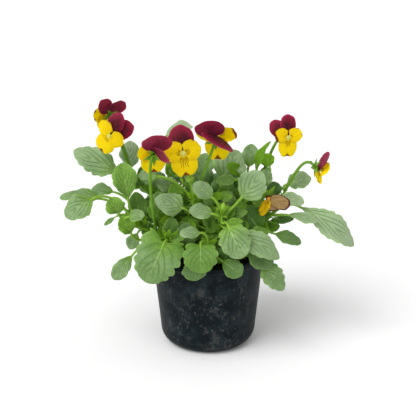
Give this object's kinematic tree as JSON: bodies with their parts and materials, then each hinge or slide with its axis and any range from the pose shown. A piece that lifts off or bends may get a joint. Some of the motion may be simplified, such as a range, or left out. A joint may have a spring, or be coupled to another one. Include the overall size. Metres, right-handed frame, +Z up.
{
  "type": "potted pansy plant",
  "caption": "Bushy pansy plant with scalloped leaves and two-coloured blooms on hooked stalks, growing in a round black nursery pot filled with potting mix.",
  "frame": {"origin": "centre of the flat pad in the middle of the pot's foot, on the surface that the pot stands on", "axes": "+Z up along the pot's axis; the plant's front, where most blooms look, faces -Y; +X to the right as seen from the front"},
  "size_m": [0.291, 0.1653, 0.2474],
  "materials": {
    "pot_plastic": "thin black moulded polypropylene, satin, with dusty grey-brown smudges",
    "potting_mix": "dark crumbly peat and fine bark, matt",
    "foliage": "grey-green leaves with a soft sheen and paler veins, yellow-green stalks",
    "red_petal": "velvety dark maroon, nearly black at the throat, magenta rim",
    "yellow_petal": "velvety golden yellow with fine brown lines at the throat"
  },
  "bodies": {
    "root": {"pot": "pot_plastic", "soil": "potting_mix", "shoot_left": "foliage", "shoot_left_high": "foliage", "shoot_front_left": "foliage", "shoot_centre_left": "foliage", "shoot_centre": "foliage", "shoot_front": "foliage", "shoot_centre_right": "foliage", "shoot_front_right": "foliage", "shoot_right": "foliage", "shoot_right_high": "foliage", "shoot_back_left": "foliage", "shoot_back": "foliage", "shoot_back_right": "foliage", "bloom_1_red_petals": "red_petal", "bloom_1_yellow_petals": "yellow_petal", "bloom_2_red_petals": "red_petal", "bloom_2_yellow_petals": "yellow_petal", "bloom_3_red_petals": "red_petal", "bloom_3_yellow_petals": "yellow_petal", "bloom_4_red_petals": "red_petal", "bloom_4_yellow_petals": "yellow_petal", "bloom_5_red_petals": "red_petal", "bloom_5_yellow_petals": "yellow_petal", "bloom_6_red_petals": "red_petal", "bloom_6_yellow_petals": "yellow_petal", "bloom_7_red_petals": "red_petal", "bloom_7_yellow_petals": "yellow_petal", "bloom_8_red_petals": "red_petal", "bloom_8_yellow_petals": "yellow_petal"}
  },
  "joints": []
}
